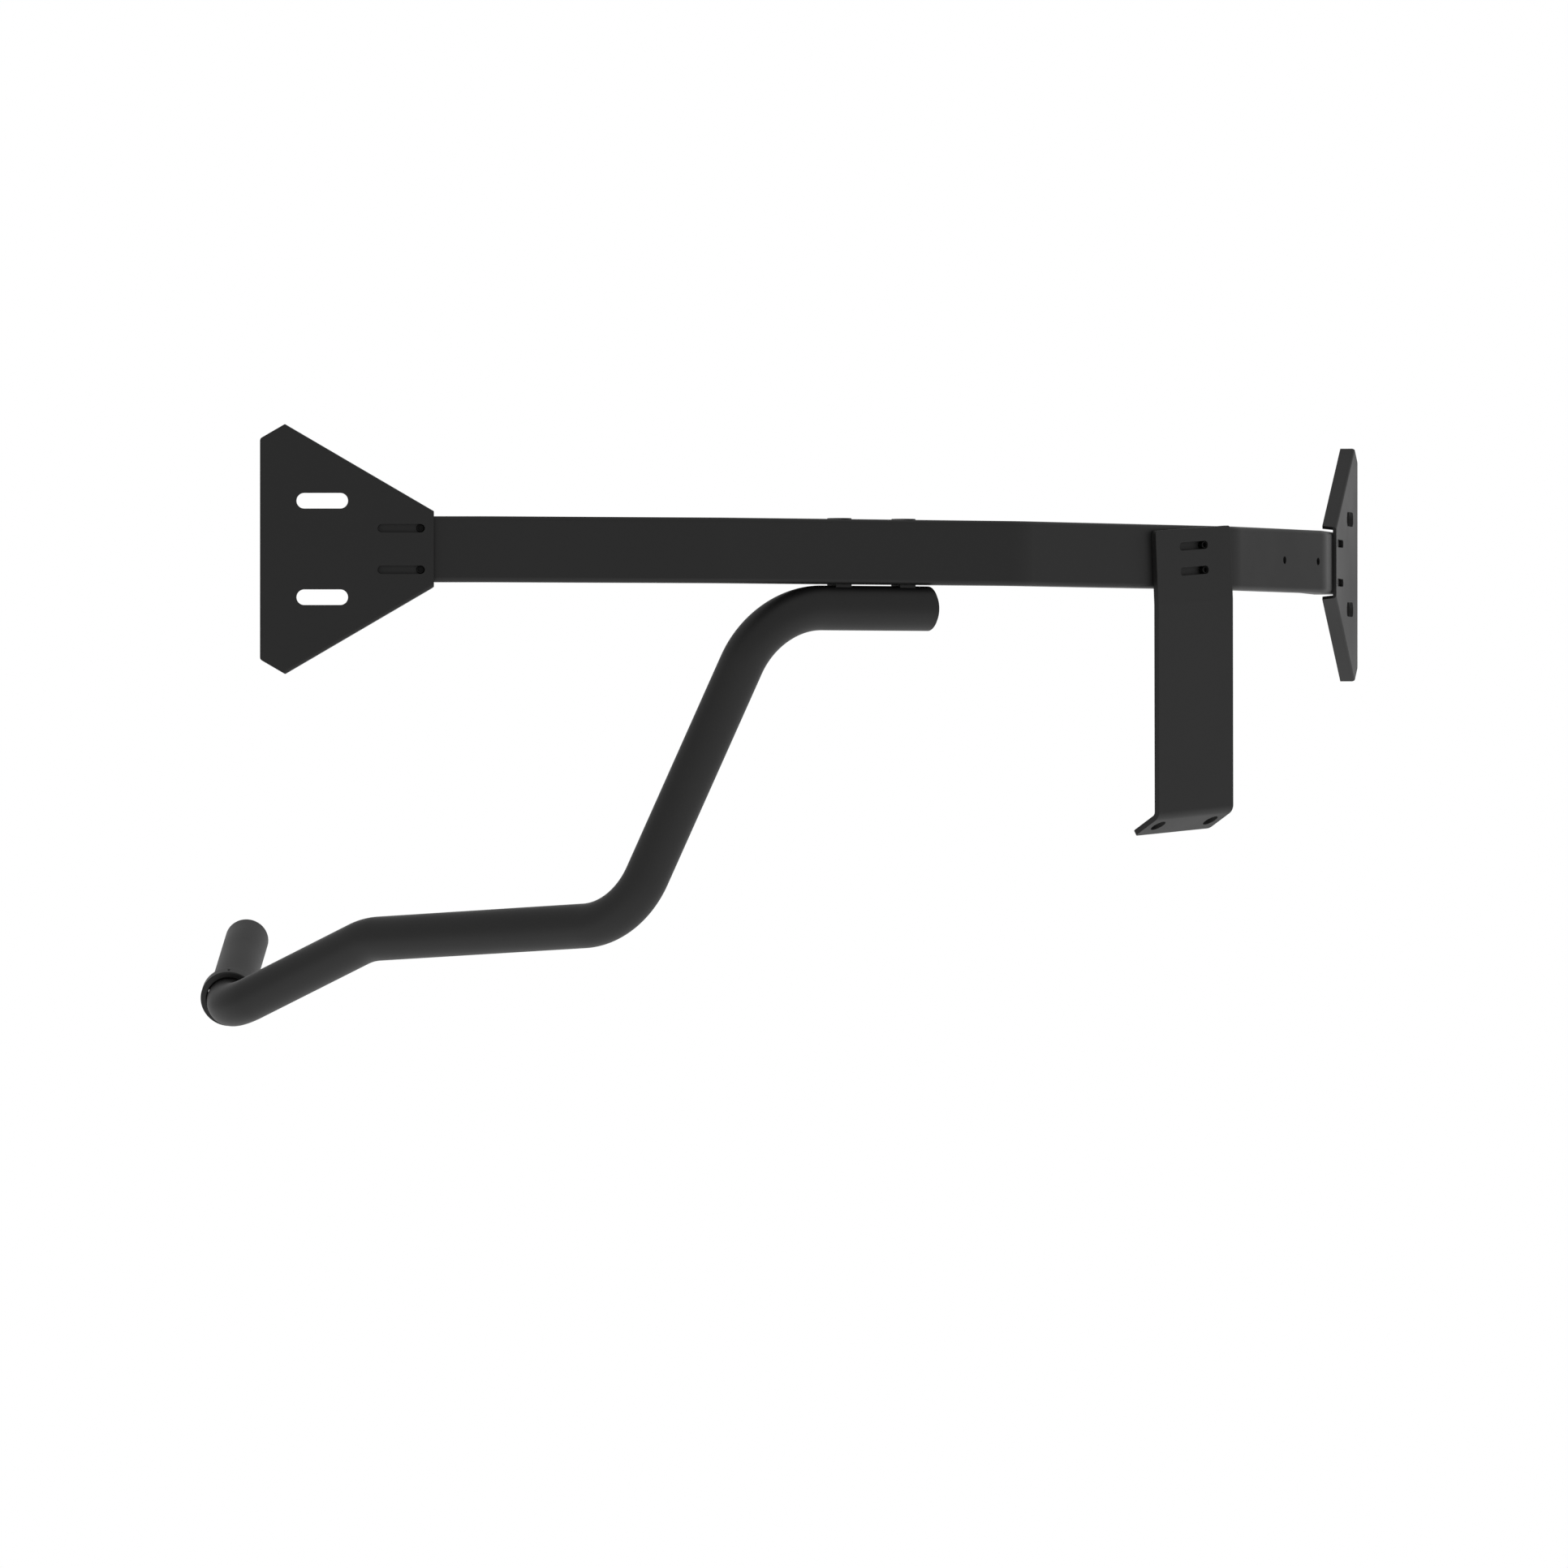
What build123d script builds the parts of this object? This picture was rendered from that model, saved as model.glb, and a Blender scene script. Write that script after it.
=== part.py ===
from build123d import *
import math
import os

# Corner pull-up bar, in millimetres, +Z up.
# A rectangular crossbar is bent in five small turns so that it cuts across a room corner.
# A slotted wall plate slides on each end of it, a hanger bracket slides on its far half, and
# one round arm is bolted under its middle and reaches down into the room to a short grip.
# The origin is on the outer face of the left wall plate, midway between its two wall slots.
# The left wall is at -Y, the bar runs off along +X, and the room is on the +Y side.

# ---------------------------------------------------------------- driving dimensions

# crossbar
bar_height = 50.8
bar_depth = 25.4
bar_wall = 2.5
bar_corner_radius = 4.0
bar_bend_radius = 70.0          # on the outer face
bar_end_run = 92.6
bar_short_run = 185.5
bar_long_run = 272.3
bar_small_turn = 15.0
bar_middle_turn = 20.0
spare_hole_diameter = 6.3
spare_hole_from_bend = 15.8
spare_hole_pitch = 70.4
spare_hole_count = 2

# wall plates
plate_thickness = 3.0
plate_length = 134.1
plate_tip_from_narrow_end = 114.9
plate_tip_half_height = 96.4
plate_wide_half_height = 85.2
plate_narrow_half_height = 29.2
plate_flange_height = 12.0      # folded edge, sheet included
plate_fold_radius = 2.7
plate_flange_setback = 2.0      # free corner of a folded edge, back along the fold
wide_flange_end_gap = 6.0       # from the plate's corner to the wide end's folded edge
plate_corner_radius = 3.0
wall_slot_length = 39.8
wall_slot_width = 12.0
wall_slot_pitch = 74.4
wall_slot_from_narrow_end = 86.1

# adjusting slots, in the plates and in the hanger bracket
adjust_slot_length = 36.4
adjust_slot_width = 6.4
adjust_slot_margin = 7.0        # from the plate's narrow end to the slot
plate_screw_pitch = 32.0
plate_screw_from_bar_end = 39.0

# hanger bracket
bracket_thickness = 4.5
bracket_width = 96.6
bracket_top = 24.0              # above the middle of the crossbar
bracket_kink_drop = 35.0        # below the middle of the crossbar
bracket_leg_length = 170.0
bracket_leg_lean = 2.6          # degrees, towards the room
bracket_roll = 3.5              # degrees, in the plane of the bar's face
bracket_foot_length = 29.0
bracket_foot_slope = 30.0       # degrees below level
bracket_foot_bend_radius = 8.5
bracket_kink_radius = 40.0
bracket_corner_radius = 3.0
bracket_screw_pitch = 20.0
bracket_screw_from_bend = 46.5
foot_hole_diameter = 13.0
foot_hole_pitch = 67.5
foot_hole_from_corner = 14.5

# arm tube: each run is its length, its compass heading from +X, and its climb
tube_diameter = 35.0
tube_wall = 2.5
tube_bend_radius = 66.0
grip_bend_radius = 46.0
arm_start_on_run = 192.2        # plain end of the arm, along the crossbar's near long run
arm_mount_run = 145.2           # from the plain end to the first corner
drop_run, drop_heading, drop_climb = 271.4, 163.6, -65.0
reach_run, reach_heading, reach_climb = 257.4, 143.3, -3.2
dip_run, dip_heading, dip_climb = 159.3, 142.4, -21.7
grip_run, grip_heading, grip_climb = 182.0, 86.7, 17.7

# stop ring at the root of the grip
ring_diameter = 46.0
ring_width = 12.0
ring_edge_radius = 1.2
ring_screw_diameter = 5.0

# screws, nuts, washers and spacers
m6_shank_diameter = 5.8
m6_hole_diameter = 6.3
m6_head_diameter = 10.5
m6_head_height = 2.2
m6_socket_across_flats = 4.0
m6_tip_recess = 0.6             # below the outer face of the slotted sheet
m6_tip_hollow_diameter = 4.2
m6_tip_hollow_depth = 4.0
sleeve_diameter = 10.0          # keeps the crossbar from being crushed by its screws
washer_diameter = 12.0
washer_thickness = 1.2
m8_shank_diameter = 7.8
m8_hole_diameter = 8.4
m8_head_across_flats = 13.0
m8_head_height = 5.3
m8_nut_across_flats = 13.0
m8_nut_height = 6.5
access_hole_diameter = 16.0
arm_bolt_from_end = 22.0
arm_bolt_pitch = 58.0
saddle_length = 14.0
saddle_width = 14.0

# plastic caps and plugs
cap_flange = 2.0
cap_depth = 14.0
cap_wall = 1.8
access_cap_flange = 0.8
access_cap_overhang = 1.5

# named clearances
slide_gap = 0.15                # between faces that slide on each other
slot_end_gap = 0.3              # screw to the end of its slot at rest
thread_bite = 0.1               # radial overlap that stands for a thread
ring_clearance = 0.3
cap_clearance = 0.1
arm_gap = 1.0                   # light gap between the crossbar and the arm tube
flange_gap = 0.8                # crossbar to the folded edges of a wall plate, at least

# corners of a bolt's head, and the largest error when edges are picked by position
hexagon_sides = 6
pick_tolerance = 1e-3

# ---------------------------------------------------------------- reference geometry


def heading_vector(heading, climb=0.0):
    """Unit vector with a compass heading from +X and a climb above level, in degrees."""
    level = math.cos(math.radians(climb))
    return Vector(
        level * math.cos(math.radians(heading)),
        level * math.sin(math.radians(heading)),
        math.sin(math.radians(climb)),
    )


def follow(start, runs):
    """Corner points of a route given by its runs of (length, heading, climb)."""
    points = [start]
    for length, heading, climb in runs:
        points.append(points[-1] + heading_vector(heading, climb) * length)
    return points


screw_to_narrow_end = adjust_slot_margin + adjust_slot_width / 2 + slot_end_gap
left_screw_x = wall_slot_from_narrow_end - screw_to_narrow_end
bar_start = Vector(left_screw_x - plate_screw_from_bar_end, plate_thickness + slide_gap, 0)

bar_turns = [0, bar_small_turn, bar_small_turn, bar_middle_turn, bar_small_turn, bar_small_turn]
bar_lengths = [bar_end_run, bar_short_run, bar_long_run, bar_long_run, bar_short_run, bar_end_run]
bar_headings = [sum(bar_turns[: run + 1]) for run in range(len(bar_turns))]
bar_corners = follow(bar_start, [(run, turn, 0) for run, turn in zip(bar_lengths, bar_headings)])

LEFT_END, NEAR_SHORT, NEAR_LONG, FAR_LONG, FAR_SHORT, RIGHT_END = range(len(bar_lengths))


def bar_face(run, along):
    """Plane on the crossbar's outer face: x along the bar, y up, z outwards to the wall."""
    tangent = heading_vector(bar_headings[run])
    outward = Vector(tangent.Y, -tangent.X, 0)
    return Plane(bar_corners[run] + tangent * along, x_dir=tangent, z_dir=outward)


def bar_middle(run, along, height):
    """Plane in the middle of the crossbar's depth: x along the bar, z up."""
    face = bar_face(run, along)
    origin = face.origin - face.z_dir * (bar_depth / 2) + Vector(0, 0, height)
    return Plane(origin, x_dir=face.x_dir, z_dir=(0, 0, 1))


def in_plane(plane, x, y, z, shape):
    """A shape moved from the middle of the world to a point of a plane."""
    return plane.location * Pos(x, y, z) * shape


def drill(plane, x, y, diameter, reach):
    """A round cutter through both sides of a plane's surface."""
    return in_plane(plane, x, y, 0, Cylinder(diameter / 2, 2 * reach))


left_screw_face = bar_face(LEFT_END, plate_screw_from_bar_end)
right_screw_face = bar_face(RIGHT_END, bar_end_run - plate_screw_from_bar_end)
bracket_seat = bar_face(FAR_LONG, bar_long_run - bracket_screw_from_bend)
bracket_face = Plane(bracket_seat.location * Rot(0, 0, bracket_roll))

plate_screw_places = [(0, -plate_screw_pitch / 2), (0, plate_screw_pitch / 2)]
bracket_screw_places = [(0, -bracket_screw_pitch / 2), (0, bracket_screw_pitch / 2)]

arm_axis_height = -bar_height / 2 - arm_gap - tube_diameter / 2
arm_bolt_stations = [
    arm_start_on_run - arm_bolt_from_end,
    arm_start_on_run - arm_bolt_from_end - arm_bolt_pitch,
]

# ---------------------------------------------------------------- crossbar


def make_crossbar():
    path = FilletPolyline(*bar_corners, radius=bar_bend_radius)
    start = bar_face(LEFT_END, 0)
    section_plane = Plane(start.origin, x_dir=-start.z_dir, z_dir=start.x_dir)
    inner_depth = bar_depth - 2 * bar_wall
    inner_height = bar_height - 2 * bar_wall
    outer = RectangleRounded(bar_depth, bar_height, bar_corner_radius)
    inner = RectangleRounded(inner_depth, inner_height, bar_corner_radius - bar_wall)
    middle = Pos(bar_depth / 2, 0, 0)
    skin = sweep(section_plane.location * middle * outer, path=path)
    bore = sweep(section_plane.location * middle * inner, path=path)
    bar = skin - bore

    for face, places in (
        (left_screw_face, plate_screw_places),
        (right_screw_face, plate_screw_places),
        (bracket_face, bracket_screw_places),
    ):
        for x, y in places:
            bar -= drill(face, x, y, m6_hole_diameter, 2 * bar_depth)
    for step in range(spare_hole_count):
        back = spare_hole_from_bend + step * spare_hole_pitch
        face = bar_face(FAR_SHORT, bar_short_run - back)
        bar -= drill(face, 0, 0, spare_hole_diameter, 2 * bar_wall)
    for along in arm_bolt_stations:
        floor = bar_middle(NEAR_LONG, along, -bar_height / 2)
        roof = bar_middle(NEAR_LONG, along, bar_height / 2)
        bar -= drill(floor, 0, 0, m8_hole_diameter, 2 * bar_wall)
        bar -= drill(roof, 0, 0, access_hole_diameter, 2 * bar_wall)
    return bar


def make_bar_cap(run, along, side):
    """Plastic cap pushed into one end of the crossbar; side is -1 at the left end."""
    face = bar_face(run, along)
    origin = face.origin - face.z_dir * (bar_depth / 2)
    plane = Plane(origin, x_dir=face.z_dir, z_dir=face.x_dir * side)
    flange = extrude(RectangleRounded(bar_depth, bar_height, bar_corner_radius), cap_flange)
    flange = fillet(flange.edges().group_by(Axis.Z)[-1], cap_flange / 2)
    plug_depth = bar_depth - 2 * (bar_wall + cap_clearance)
    plug_height = bar_height - 2 * (bar_wall + cap_clearance)
    plug_radius = max(bar_corner_radius - bar_wall, cap_clearance)
    plug = extrude(RectangleRounded(plug_depth, plug_height, plug_radius), -cap_depth)
    hollow = extrude(Rectangle(plug_depth - 2 * cap_wall, plug_height - 2 * cap_wall), -cap_depth)
    return plane.location * (flange + plug - hollow)


# ---------------------------------------------------------------- wall plates


def make_wall_plate():
    """Plate with x from its narrow end to its wide end and z=0 on its inner face."""
    tip = plate_tip_from_narrow_end
    rise = plate_tip_half_height - plate_narrow_half_height
    slope = rise / tip
    fold_share = plate_thickness * math.hypot(1, slope)
    upper = [
        (0, plate_narrow_half_height),
        (tip, plate_tip_half_height),
        (plate_length, plate_wide_half_height),
    ]
    lower = [(x, -y) for x, y in reversed(upper)]
    blank = make_face(Polyline(*upper, *lower, close=True))
    tray_bottom = plate_thickness - plate_flange_height
    tray = extrude(Pos(0, 0, tray_bottom) * blank, plate_flange_height)

    # three folded edges stay: along both slopes and across the wide end
    inner_narrow = plate_narrow_half_height - fold_share
    inner_end = plate_length - plate_thickness
    inner_wide = inner_narrow + slope * inner_end
    pocket = make_face(
        Polyline(
            (0, inner_narrow),
            (inner_end, inner_wide),
            (inner_end, -inner_wide),
            (0, -inner_narrow),
            close=True,
        )
    )
    tray -= extrude(Pos(0, 0, tray_bottom) * pocket, -tray_bottom)

    # the corners at the wide end are left open, and the sloping folds start where they clear
    # the crossbar and lean back from it
    block = 2 * plate_tip_half_height
    corner_middle = plate_wide_half_height - wide_flange_end_gap + block / 2
    fold_angle = math.atan(slope)
    inside_overlap = bar_height / 2 + flange_gap - plate_narrow_half_height
    fold_start = max(
        inside_overlap / math.sin(fold_angle) + plate_thickness / math.tan(fold_angle), 0
    )
    fold_end = fold_start + plate_flange_setback
    lean_back = make_face(
        Polyline(
            (-block, 0),
            (fold_start, 0),
            (fold_end, tray_bottom),
            (-block, tray_bottom),
            close=True,
        )
    )
    for side in (-1, 1):
        tray -= Pos(tip + block / 2, side * corner_middle, -block / 2) * Box(block, block, block)
        fold_line = Pos(0, side * plate_narrow_half_height, 0) * Rot(0, 0, side * math.degrees(fold_angle))
        tray -= fold_line * extrude(Plane.XZ * lean_back, 2 * plate_thickness, both=True)

    folds = [
        edge
        for edge in tray.edges()
        if abs(edge.center().Z - plate_thickness) < pick_tolerance
        and abs(abs(edge.tangent_at(0.5).Y) - slope / math.hypot(1, slope)) < pick_tolerance
        and edge.length > tip / 2
    ]
    tray = fillet(folds, plate_fold_radius)
    corners = tray.edges().filter_by(
        lambda edge: abs(abs(edge.center().Y) - plate_wide_half_height) < pick_tolerance
        and abs(edge.length - plate_thickness) < pick_tolerance
    )
    tray = fillet(corners, plate_corner_radius)

    slot_x = adjust_slot_margin + adjust_slot_length / 2
    adjust = SlotOverall(adjust_slot_length, adjust_slot_width)
    wall = SlotOverall(wall_slot_length, wall_slot_width)
    for side in (-1, 1):
        tray -= extrude(Pos(slot_x, side * plate_screw_pitch / 2, 0) * adjust, plate_thickness)
        wall_y = side * wall_slot_pitch / 2
        tray -= extrude(Pos(wall_slot_from_narrow_end, wall_y, 0) * wall, plate_thickness)
    return tray


def place_plate(face, side):
    """Stand a plate on the crossbar's outer face, its narrow end towards the bar's middle."""
    narrow_end = face.origin - face.x_dir * (side * screw_to_narrow_end)
    seat = Plane(narrow_end + face.z_dir * slide_gap, x_dir=face.x_dir * side, z_dir=face.z_dir)
    return seat.location


# ---------------------------------------------------------------- hanger bracket


def make_bracket():
    """Bracket with its screws at the origin, y up and z away from the crossbar."""
    outer = slide_gap + bracket_thickness
    lean = math.radians(bracket_leg_lean)
    dip = math.radians(bracket_foot_slope)
    top = Vector(0, bracket_top, outer)
    kink = Vector(0, -bracket_kink_drop, outer)
    corner = kink - Vector(0, math.cos(lean), math.sin(lean)) * bracket_leg_length
    tip = corner - Vector(0, math.sin(dip), math.cos(dip)) * bracket_foot_length
    radii = [bracket_kink_radius, bracket_foot_bend_radius]
    path = FilletPolyline(top, kink, corner, tip, radius=radii)

    middle_x = adjust_slot_width / 2 + slot_end_gap - adjust_slot_length / 2
    section_plane = Plane(top, x_dir=(1, 0, 0), z_dir=(0, -1, 0))
    section = Pos(middle_x, -bracket_thickness / 2, 0) * Rectangle(bracket_width, bracket_thickness)
    sheet = sweep(section_plane.location * section, path=path)
    ends = sheet.edges().filter_by(
        lambda edge: abs(edge.length - bracket_thickness) < pick_tolerance
    )
    corners = ends.group_by(Axis.Y)[-1] + ends.group_by(Axis.Y)[0]
    sheet = fillet(corners, bracket_corner_radius)

    slot = SlotOverall(adjust_slot_length, adjust_slot_width)
    for side in (-1, 1):
        cutter = extrude(Pos(middle_x, side * bracket_screw_pitch / 2, 0) * slot, 2 * outer)
        sheet -= cutter
    foot_line = (tip - corner).normalized()
    foot_plane = Plane(
        corner + foot_line * foot_hole_from_corner,
        x_dir=(1, 0, 0),
        z_dir=Vector(1, 0, 0).cross(foot_line),
    )
    for side in (-1, 1):
        x = middle_x + side * foot_hole_pitch / 2
        sheet -= drill(foot_plane, x, 0, foot_hole_diameter, 2 * bracket_thickness)
    return bracket_face.location * sheet


# ---------------------------------------------------------------- arm

arm_start = bar_middle(NEAR_LONG, arm_start_on_run, arm_axis_height).origin
arm_runs = [
    (arm_mount_run, 180 + bar_headings[NEAR_LONG], 0),
    (drop_run, drop_heading, drop_climb),
    (reach_run, reach_heading, reach_climb),
    (dip_run, dip_heading, dip_climb),
    (grip_run, grip_heading, grip_climb),
]
arm_corners = follow(arm_start, arm_runs)
grip_axis = heading_vector(grip_heading, grip_climb)
grip_turn = heading_vector(dip_heading, dip_climb).get_angle(grip_axis)
grip_root = arm_corners[-2] + grip_axis * (
    grip_bend_radius * math.tan(math.radians(grip_turn) / 2)
)


def make_arm_tube():
    radii = [tube_bend_radius, tube_bend_radius, tube_bend_radius, grip_bend_radius]
    path = FilletPolyline(*arm_corners, radius=radii)
    start = Plane(arm_start, z_dir=arm_corners[1] - arm_start)
    skin = sweep(start.location * Circle(tube_diameter / 2), path=path)
    bore = sweep(start.location * Circle(tube_diameter / 2 - tube_wall), path=path)
    tube = skin - bore
    for along in arm_bolt_stations:
        top = bar_middle(NEAR_LONG, along, arm_axis_height + tube_diameter / 2)
        tube -= drill(top, 0, 0, m8_hole_diameter, 2 * tube_wall)
    return tube


def make_tube_cap(origin, outward):
    """Round plastic cap pushed into an open end of the arm tube."""
    bore_radius = tube_diameter / 2 - tube_wall - cap_clearance
    flange = Pos(0, 0, cap_flange / 2) * Cylinder(tube_diameter / 2, cap_flange)
    flange = fillet(flange.edges().group_by(Axis.Z)[-1], cap_flange / 2)
    plug = Pos(0, 0, -cap_depth / 2) * Cylinder(bore_radius, cap_depth)
    hollow = Pos(0, 0, -cap_depth / 2) * Cylinder(bore_radius - cap_wall, cap_depth)
    return Plane(origin, z_dir=outward).location * (flange + plug - hollow)


def make_saddle(along):
    """Spacer between the flat underside of the crossbar and the top of the round tube."""
    seat = bar_middle(NEAR_LONG, along, -bar_height / 2)
    sag = tube_diameter / 2 - math.sqrt((tube_diameter / 2) ** 2 - (saddle_width / 2) ** 2)
    height = arm_gap + sag
    block = Pos(0, 0, -height / 2) * Box(saddle_length, saddle_width, height)
    round_tube = Pos(0, 0, -arm_gap - tube_diameter / 2) * Rot(0, 90, 0)
    block -= round_tube * Cylinder(tube_diameter / 2, 2 * saddle_length)
    block -= Cylinder(m8_hole_diameter / 2, 4 * height)
    return seat.location * block


arm_bolt_length = bar_wall + arm_gap + tube_wall + m8_nut_height


def make_arm_bolt(along):
    seat = bar_middle(NEAR_LONG, along, -bar_height / 2 + bar_wall)
    hexagon = RegularPolygon(m8_head_across_flats / 2, hexagon_sides, major_radius=False)
    head = extrude(hexagon, m8_head_height)
    shank = Pos(0, 0, -arm_bolt_length / 2) * Cylinder(m8_shank_diameter / 2, arm_bolt_length)
    return seat.location * (head + shank)


def make_arm_nut(along):
    """Hexagon nut against the inside of the tube's roof, its corners trimmed to the bore."""
    seat = bar_middle(NEAR_LONG, along, arm_axis_height)
    bore_radius = tube_diameter / 2 - tube_wall
    hexagon = RegularPolygon(m8_nut_across_flats / 2, hexagon_sides, major_radius=False)
    nut = extrude(Pos(0, 0, bore_radius - m8_nut_height) * hexagon, m8_nut_height)
    nut &= Rot(0, 90, 0) * Cylinder(bore_radius, 2 * m8_nut_across_flats)
    nut -= Cylinder(m8_shank_diameter / 2 - thread_bite, 4 * bore_radius)
    return seat.location * nut


def make_access_cap(along):
    """Snap-in cap over the hole that lets the arm's bolt into the crossbar."""
    seat = bar_middle(NEAR_LONG, along, bar_height / 2)
    rim_radius = access_hole_diameter / 2 + access_cap_overhang
    rim = Pos(0, 0, access_cap_flange / 2) * Cylinder(rim_radius, access_cap_flange)
    rim = fillet(rim.edges().group_by(Axis.Z)[-1], access_cap_flange / 2)
    plug_radius = access_hole_diameter / 2 - cap_clearance
    plug_depth = 2 * bar_wall
    plug = Pos(0, 0, -plug_depth / 2) * Cylinder(plug_radius, plug_depth)
    hollow = Pos(0, 0, -plug_depth / 2) * Cylinder(plug_radius - cap_wall, plug_depth)
    return seat.location * (rim + plug - hollow)


ring_middle = grip_root + grip_axis * (ring_width / 2)
ring_plane = Plane(ring_middle, x_dir=heading_vector(grip_heading - 90), z_dir=grip_axis)
ring_bore_radius = tube_diameter / 2 + ring_clearance


def make_stop_ring():
    ring = Cylinder(ring_diameter / 2, ring_width) - Cylinder(ring_bore_radius, ring_width)
    rims = ring.edges().filter_by(GeomType.CIRCLE).group_by(SortBy.RADIUS)[-1]
    ring = fillet(rims, ring_edge_radius)
    thread = ring_screw_diameter / 2 - thread_bite
    hole = Pos(0, -ring_diameter / 2, 0) * Rot(90, 0, 0) * Cylinder(thread, ring_diameter / 2)
    return ring_plane.location * (ring - hole)


def make_ring_screw():
    """Grub screw that holds the stop ring, its tip on the tube."""
    length = ring_diameter / 2 - tube_diameter / 2 - thread_bite
    body = Cylinder(ring_screw_diameter / 2, length)
    socket = RegularPolygon(ring_screw_diameter / 4, hexagon_sides, major_radius=False)
    body -= extrude(Pos(0, 0, length / 2) * socket, -length / 2)
    place = Pos(0, -tube_diameter / 2 - length / 2, 0) * Rot(90, 0, 0)
    return ring_plane.location * place * body


# ---------------------------------------------------------------- small screws


def make_slot_screw(thickness):
    """Thread-forming screw put in from the room side, z=0 on the bar's outer face.

    It passes right through the bar, and its tip bites into the edges of the slot in the
    sheet that lies on the bar, so that nothing stands proud of the sheet's outer face.
    """
    seat = -bar_depth - washer_thickness
    head = Pos(0, 0, seat - m6_head_height / 2) * Cylinder(m6_head_diameter / 2, m6_head_height)
    head = fillet(head.edges().group_by(Axis.Z)[0], m6_head_height / 2)
    socket = RegularPolygon(m6_socket_across_flats / 2, hexagon_sides, major_radius=False)
    tip = slide_gap + thickness - m6_tip_recess
    shank = Pos(0, 0, (seat + tip) / 2) * Cylinder(m6_shank_diameter / 2, tip - seat)
    shank = chamfer(shank.edges().group_by(Axis.Z)[-1], m6_tip_recess)
    screw = head + shank
    screw -= extrude(Pos(0, 0, seat - m6_head_height) * socket, m6_head_height)
    return screw - Pos(0, 0, tip) * Cylinder(m6_tip_hollow_diameter / 2, 2 * m6_tip_hollow_depth)


def make_slot_washer():
    middle = Pos(0, 0, -bar_depth - washer_thickness / 2)
    hole = Cylinder(m6_hole_diameter / 2, washer_thickness)
    return middle * (Cylinder(washer_diameter / 2, washer_thickness) - hole)


def make_crush_sleeve():
    """Sleeve round a screw, between the crossbar's two walls."""
    length = bar_depth - 2 * bar_wall
    middle = Pos(0, 0, -bar_depth / 2)
    hole = Cylinder(m6_hole_diameter / 2, length)
    return middle * (Cylinder(sleeve_diameter / 2, length) - hole)


def place_all(face, places, shape):
    return Compound(children=[in_plane(face, x, y, 0, shape) for x, y in places])


def along_arm_bolts(make):
    return Compound(children=[make(along) for along in arm_bolt_stations])


# ---------------------------------------------------------------- the assembly

wall_plate = make_wall_plate()

nodes = {
    "left_wall_plate": place_plate(left_screw_face, -1) * wall_plate,
    "right_wall_plate": place_plate(right_screw_face, 1) * wall_plate,
    "crossbar": make_crossbar(),
    "crossbar_left_cap": make_bar_cap(LEFT_END, 0, -1),
    "crossbar_right_cap": make_bar_cap(RIGHT_END, bar_end_run, 1),
    "hanger_bracket": make_bracket(),
    "arm_tube": make_arm_tube(),
    "arm_tube_cap": make_tube_cap(arm_start, arm_start - arm_corners[1]),
    "grip_end_cap": make_tube_cap(arm_corners[-1], grip_axis),
    "grip_stop_ring": make_stop_ring(),
    "stop_ring_screw": make_ring_screw(),
    "arm_saddles": along_arm_bolts(make_saddle),
    "arm_bolts": along_arm_bolts(make_arm_bolt),
    "arm_nuts": along_arm_bolts(make_arm_nut),
    "access_hole_caps": along_arm_bolts(make_access_cap),
}

for name, face, places, thickness in (
    ("left_plate", left_screw_face, plate_screw_places, plate_thickness),
    ("right_plate", right_screw_face, plate_screw_places, plate_thickness),
    ("bracket", bracket_face, bracket_screw_places, bracket_thickness),
):
    nodes[name + "_screws"] = place_all(face, places, make_slot_screw(thickness))
    nodes[name + "_washers"] = place_all(face, places, make_slot_washer())
    nodes[name + "_crush_sleeves"] = place_all(face, places, make_crush_sleeve())

os.makedirs("parts", exist_ok=True)
for name, shape in nodes.items():
    export_step(shape, os.path.join("parts", name + ".step"))
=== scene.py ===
# %% [markdown]
# A corner pull-up bar, made of bent steel tube and folded sheet, all in black powder coat.
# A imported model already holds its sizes, its places and the way that it moves. This lesson
# loads that model as a fixed frame and gives it the finish of the real thing: a smooth round
# arm, sheet edges that catch the light, real coating, and soft studio light. The whole object
# could be modelled again from nothing, but then a slot might drift from the screw that slides
# in it, so only what gains by it is made anew.

# %% Load the frame
import math

import bmesh
import bpy
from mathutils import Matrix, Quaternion, Vector


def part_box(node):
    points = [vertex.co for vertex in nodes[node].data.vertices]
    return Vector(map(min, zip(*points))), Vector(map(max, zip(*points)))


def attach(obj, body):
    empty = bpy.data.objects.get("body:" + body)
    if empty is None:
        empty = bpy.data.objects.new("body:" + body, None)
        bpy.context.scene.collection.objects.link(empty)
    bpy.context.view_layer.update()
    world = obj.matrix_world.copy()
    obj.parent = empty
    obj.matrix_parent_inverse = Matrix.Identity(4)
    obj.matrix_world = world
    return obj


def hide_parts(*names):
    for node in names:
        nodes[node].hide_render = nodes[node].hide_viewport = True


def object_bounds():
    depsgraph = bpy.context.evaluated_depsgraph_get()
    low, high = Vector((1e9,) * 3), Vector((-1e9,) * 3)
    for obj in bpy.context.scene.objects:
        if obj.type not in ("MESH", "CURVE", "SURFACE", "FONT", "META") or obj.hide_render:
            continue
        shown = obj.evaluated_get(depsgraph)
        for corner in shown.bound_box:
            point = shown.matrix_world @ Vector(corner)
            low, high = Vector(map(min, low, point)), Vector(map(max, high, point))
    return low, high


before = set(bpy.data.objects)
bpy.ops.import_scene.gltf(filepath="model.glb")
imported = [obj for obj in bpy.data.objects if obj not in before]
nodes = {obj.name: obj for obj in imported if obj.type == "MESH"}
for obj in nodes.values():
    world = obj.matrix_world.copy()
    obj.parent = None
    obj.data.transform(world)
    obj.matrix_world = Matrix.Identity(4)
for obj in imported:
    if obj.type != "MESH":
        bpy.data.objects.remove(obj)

MM = 0.001
cad_low, cad_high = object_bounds()
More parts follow.
